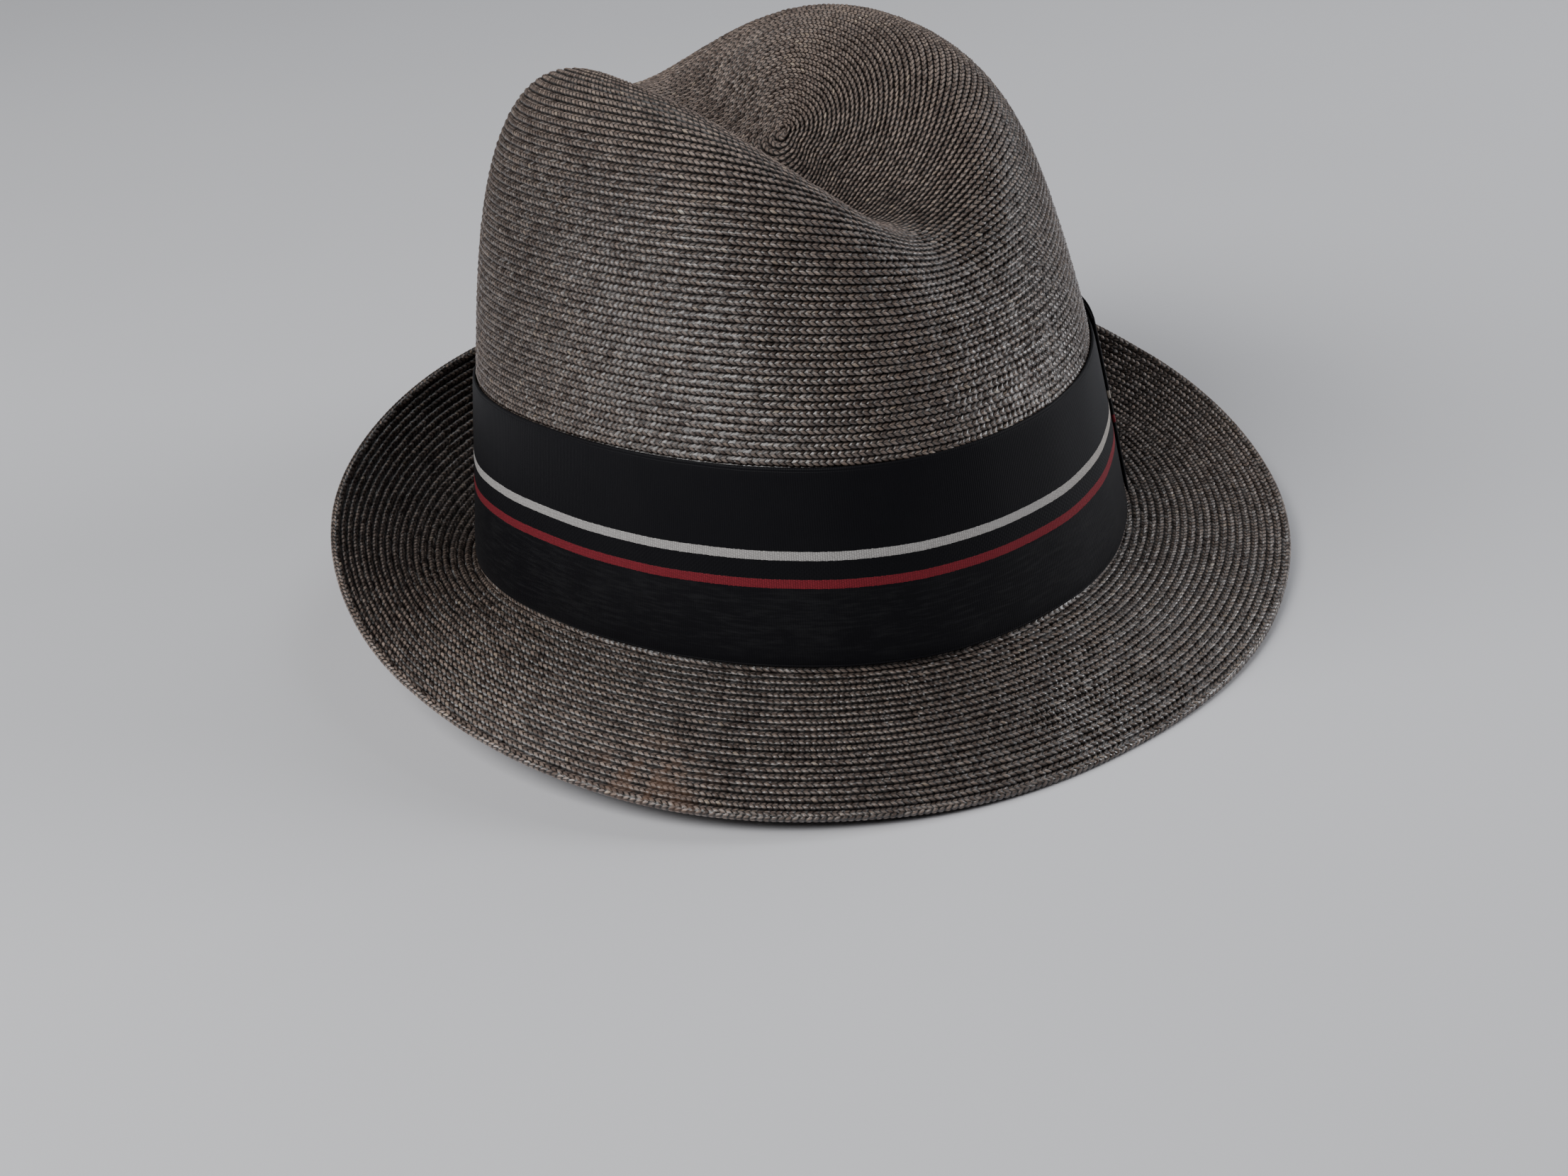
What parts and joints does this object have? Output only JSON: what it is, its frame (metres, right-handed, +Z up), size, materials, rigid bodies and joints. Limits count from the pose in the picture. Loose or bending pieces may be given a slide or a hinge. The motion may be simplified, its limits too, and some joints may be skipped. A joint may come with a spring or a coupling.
{
  "type": "straw fedora hat",
  "caption": "Straw fedora with a teardrop-creased crown, a brim turned up at the back, and a wide striped ribbon band with a flat side bow.",
  "frame": {"origin": "on the surface the hat rests on, below the middle of its bounding box", "axes": "+Z up from the surface, -Y towards the wearer's front, +X towards the wearer's left"},
  "size_m": [0.263, 0.2542, 0.1456],
  "materials": {
    "straw": "fine lacquered straw braid, grey-brown, satin to glossy",
    "ribbon": "black ribbed ribbon with a white and a red woven stripe, matte"
  },
  "bodies": {
    "root": {"straw_body": "straw", "ribbon_band": "ribbon", "bow_front_loop": "ribbon", "bow_back_loop": "ribbon", "bow_knot": "ribbon"}
  },
  "joints": []
}
